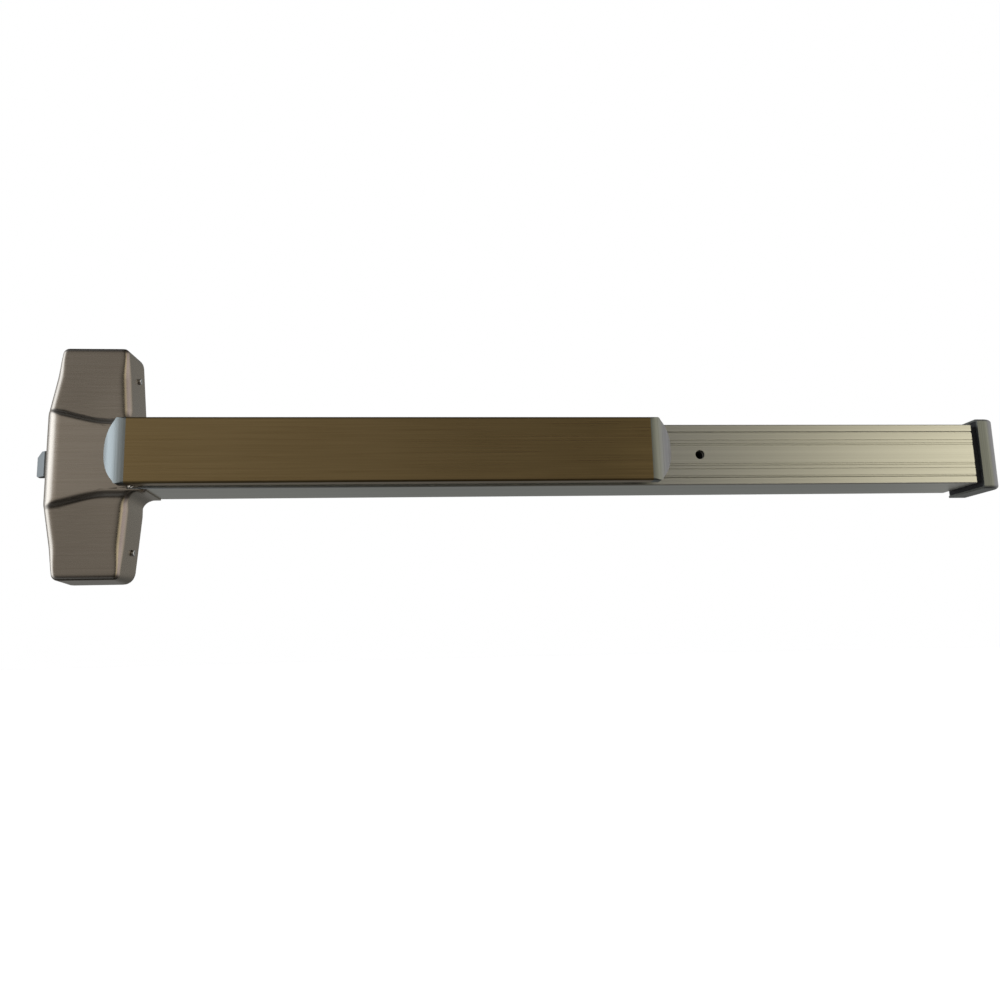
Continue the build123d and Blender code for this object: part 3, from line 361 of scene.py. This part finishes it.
def cover_skin():
    """The cover's outer skin: rings up the walls, over the rounded edge and in to a spine."""
    back = cover_outline(RIGHT_BACK, LEFT_BACK, COVER_HALF_HEIGHT, BACK_CORNER)
    front = cover_outline(RIGHT_FRONT, LEFT_FRONT, COVER_FRONT_HALF_HEIGHT, FRONT_CORNER)
    rings = [[] for _ in range(WALL_RINGS + EDGE_RINGS + FRONT_RINGS)]
    count = len(front)
    for i, (x, z, edge, spine_z) in enumerate(front):
        x0, z0 = back[i][:2]
        before, after = front[i - 1], front[(i + 1) % count]
        along = Vector((after[0] - before[0], after[1] - before[1])).normalized()
        inward = Vector((-along.y, along.x))
        wall_top = cover_depth(x, z) - edge
        for k in range(WALL_RINGS):
            t = k / WALL_RINGS
            rings[k].append((x0 + (x - x0) * t, -wall_top * t, z0 + (z - z0) * t))
        for k in range(EDGE_RINGS):
            a = math.pi / 2 * k / (EDGE_RINGS - 1)
            px, pz = x + inward.x * edge * (1 - math.cos(a)), z + inward.y * edge * (1 - math.cos(a))
            depth = cover_depth(px, pz) - edge * (1 - math.sin(a))
            rings[WALL_RINGS + k].append((px, -depth, pz))
        spine_z = min(max(spine_z, -SPINE_HALF), SPINE_HALF)
        for k in range(FRONT_RINGS):
            t = (k + 1) / FRONT_RINGS
            qx, qz = px + (SPINE_X - px) * t, pz + (spine_z - pz) * t
            rings[WALL_RINGS + EDGE_RINGS + k].append((qx, -cover_depth(qx, qz), qz))
    return rings


def mesh_from_rings(name, rings):
    """A smooth skin through closed rings of equal length."""
    bm = bmesh.new()
    rows = [[bm.verts.new(Vector(p) * MM) for p in ring] for ring in rings]
    count = len(rows[0])
    for lower, upper in zip(rows, rows[1:]):
        for i in range(count):
            j = (i + 1) % count
            bm.faces.new((lower[i], lower[j], upper[j], upper[i]))
    bmesh.ops.remove_doubles(bm, verts=bm.verts, dist=0.00001)
    bmesh.ops.dissolve_degenerate(bm, dist=0.000005, edges=bm.edges)
    bmesh.ops.recalc_face_normals(bm, faces=bm.faces)
    mesh = bpy.data.meshes.new(name)
    bm.to_mesh(mesh)
    bm.free()
    return mesh


def add_cutter(low, high):
    """A box, in mm, for a boolean cut."""
    bm = bmesh.new()
    bmesh.ops.create_cube(bm, size=1)
    for vert in bm.verts:
        vert.co = Vector([(a + b) / 2 + c * (b - a) for a, b, c in zip(low, high, vert.co)]) * MM
    mesh = bpy.data.meshes.new("cutter")
    bm.to_mesh(mesh)
    bm.free()
    cutter = bpy.data.objects.new("cutter", mesh)
    bpy.context.scene.collection.objects.link(cutter)
    return cutter


def settle(piece):
    """Applies a piece's modifiers and drops them."""
    depsgraph = bpy.context.evaluated_depsgraph_get()
    mesh = bpy.data.meshes.new_from_object(piece.evaluated_get(depsgraph))
    piece.modifiers.clear()
    piece.data = mesh


def add_head_cover():
    """The cover's sheet, with the latch's slot and the rail's notch cut out of it."""
    cover = bpy.data.objects.new("head_cover_shell", mesh_from_rings("head_cover_shell", cover_skin()))
    bpy.context.scene.collection.objects.link(cover)
    wall = cover.modifiers.new("wall", "SOLIDIFY")
    wall.thickness = SHEET * MM
    wall.offset = -1
    low, high = [[c / MM for c in corner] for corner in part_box("latch_bolt")]
    rail_low, rail_high = [[c / MM for c in corner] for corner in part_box("rail_channel")]
    slack = LATCH_SLACK
    cutters = [
        add_cutter((-60, low[1] - slack, low[2] - slack), (-20, high[1] + slack, high[2] + slack)),
        add_cutter((rail_low[0] - 0.5, rail_low[1] - 0.1, rail_low[2] - RAIL_SLACK),
                   (70, 5, rail_high[2] + RAIL_SLACK)),
    ]
    for cutter in cutters:
        cut = cover.modifiers.new("cut", "BOOLEAN")
        cut.object = cutter
        cut.operation = "DIFFERENCE"
        cut.solver = "MANIFOLD"
    settle(cover)
    for cutter in cutters:
        bpy.data.objects.remove(cutter)
    cover.data.shade_smooth()
    cover.data.set_sharp_from_angle(angle=math.radians(SHARP_ANGLE))
    cover.data.materials.clear()
    cover.data.materials.append(FINISHES["head_steel"])
    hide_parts("head_cover")
    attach(cover, "root")


add_head_cover()


# ---------------------------------------------------------------- studio
CAMERA_PLACE = Vector((0.27373, -0.79831, -0.16965))
CAMERA_TURN = (math.radians(-5.057), math.radians(9.387), math.radians(1.344))
CAMERA_LENS = 31.017
CAMERA_SHIFT = (0.0204, 0.0062)


def add_camera():
    yaw, pitch, roll = CAMERA_TURN
    data = bpy.data.cameras.new("camera")
    data.lens = CAMERA_LENS
    data.sensor_width = 36
    data.shift_x, data.shift_y = CAMERA_SHIFT
    data.clip_start = 0.01
    camera = bpy.data.objects.new("camera", data)
    turn = Matrix.Rotation(yaw, 4, "Z") @ Matrix.Rotation(pitch, 4, "X") @ Matrix.Rotation(roll, 4, "Y")
    camera.matrix_world = Matrix.Translation(CAMERA_PLACE) @ turn @ Matrix.Rotation(math.pi / 2, 4, "X")
    bpy.context.scene.collection.objects.link(camera)
    bpy.context.scene.camera = camera


def add_softbox(name, place, aim, size, power, colour):
    data = bpy.data.lights.new(name, "AREA")
    data.shape = "RECTANGLE"
    data.size, data.size_y = size
    data.energy = power
    data.color = colour
    lamp = bpy.data.objects.new(name, data)
    lamp.visible_glossy = False
    lamp.location = place
    lamp.rotation_euler = (Vector(aim) - Vector(place)).to_track_quat("-Z", "Y").to_euler()
    bpy.context.scene.collection.objects.link(lamp)


COOL, PLAIN, WARM = (0.86, 0.96, 1.1), (1.0, 0.985, 0.96), (1.0, 0.955, 0.74)
PLUM, SHADE = (1.0, 0.95, 1.06), (0.96, 1.0, 0.99)
# Degrees round from the door's outward direction, towards the end cap, with brightness and tint.
ROOM = [
    (-180, 0.3, SHADE), (-118, 0.4, PLAIN), (-98, 2.2, COOL), (-90, 3.5, COOL), (-64, 3.0, COOL),
    (-44, 0.7, PLAIN), (-18, 0.42, PLAIN), (0, 0.33, PLAIN), (12, 0.18, PLAIN), (22, 0.11, PLAIN),
    (28, 0.3, WARM), (32, 0.85, WARM), (38, 1.3, WARM), (50, 1.6, WARM), (62, 1.0, PLUM),
    (85, 1.1, PLUM), (120, 0.9, PLAIN), (150, 0.3, SHADE), (180, 0.29, SHADE),
]
# Height on the unit sphere, with the factor on the brightness.
ROOM_HEIGHT = [
    (-1.0, 0.08), (-0.75, 0.1), (-0.45, 0.45), (-0.16, 0.85), (0.23, 1.0), (0.57, 0.8), (0.72, 0.3),
    (0.88, 0.08), (1.0, 0.06),
]


def add_world():
    """A room that is plain white to the camera and shaded, as panels would be, in reflections."""
    world = bpy.data.worlds.new("studio")
    bpy.context.scene.world = world
    world.use_nodes = True
    nodes, links = world.node_tree.nodes, world.node_tree.links

    def node(kind, settings, sockets):
        made = nodes.new(kind)
        for key, value in settings.items():
            setattr(made, key, value)
        for key, value in sockets.items():
            if isinstance(value, bpy.types.NodeSocket):
                links.new(value, made.inputs[key])
            else:
                made.inputs[key].default_value = value
        return made

    def ramp(source, stops):
        made = node("ShaderNodeValToRGB", {}, {"Fac": source})
        elements = made.color_ramp.elements
        while len(elements) < len(stops):
            elements.new(0.5)
        for element, (position, colour) in zip(elements, stops):
            element.position = position
            element.color = (*colour, 1)
        return made.outputs[0]

    place = node("ShaderNodeTexCoord", {}, {})
    split = node("ShaderNodeSeparateXYZ", {}, {0: place.outputs["Generated"]})
    away = node("ShaderNodeMath", {"operation": "MULTIPLY"}, {0: split.outputs["Y"], 1: -1.0})
    turn = node("ShaderNodeMath", {"operation": "ARCTAN2"}, {0: split.outputs["X"], 1: away.outputs[0]})

    def share(source, limit):
        return node("ShaderNodeMapRange", {}, {"Value": source, "From Min": -limit, "From Max": limit})

    round_room = share(turn.outputs[0], math.pi)
    up_room = share(split.outputs["Z"], 1.0)
    panels = ramp(round_room.outputs[0], [
        ((angle + 180) / 360, tuple(level * tint for tint in colour)) for angle, level, colour in ROOM
    ])
    heights = ramp(up_room.outputs[0], [((z + 1) / 2, (level, level, level)) for z, level in ROOM_HEIGHT])
    multiply = {"data_type": "RGBA", "blend_type": "MULTIPLY"}
    shade = node("ShaderNodeMix", multiply, {0: 1.0, 6: panels, 7: heights})
    seen = node("ShaderNodeLightPath", {}, {})
    background = nodes["Background"]
    plain = node("ShaderNodeBackground", {}, {"Color": (1, 1, 1, 1)})
    choice = {0: seen.outputs["Is Camera Ray"], 1: background.outputs[0], 2: plain.outputs[0]}
    both = node("ShaderNodeMixShader", {}, choice)
    links.new(shade.outputs[2], background.inputs["Color"])
    links.new(both.outputs[0], nodes["World Output"].inputs["Surface"])


FLOOR_RADIUS = 30.0
FLOOR_DROP = 0.42


def add_floor():
    """A plain pale floor well below the door hardware, bright enough to run into the white room."""
    mesh = bpy.data.meshes.new("floor")
    bm = bmesh.new()
    bmesh.ops.create_circle(bm, cap_ends=True, segments=96, radius=FLOOR_RADIUS)
    bm.to_mesh(mesh)
    bm.free()
    floor = bpy.data.objects.new("floor", mesh)
    floor.location = (0.4, 0.0, CAD_BOX[0][2] - FLOOR_DROP)
    floor.visible_glossy = False
    paint = Finish("pale_floor", Roughness=0.8, Emission_Color=(1, 1, 1, 1), Emission_Strength=0.75)
    grain = paint.noise(30, 3)
    paint.set("Base Color", paint.blend(grain, (0.93, 0.93, 0.92), (0.97, 0.97, 0.96)))
    mesh.materials.append(paint.material)
    bpy.context.scene.collection.objects.link(floor)


add_camera()
add_world()
add_floor()
add_softbox("key_left", (-1.3, -1.1, 1.2), (0, 0, 0), (0.8, 0.8), 6, (1, 0.99, 0.97))
add_softbox("top", (0.4, -0.2, 2.2), (0.4, 0, 0), (2.5, 1.0), 8, (1, 1, 1))
bpy.context.scene.view_settings.view_transform = "Standard"
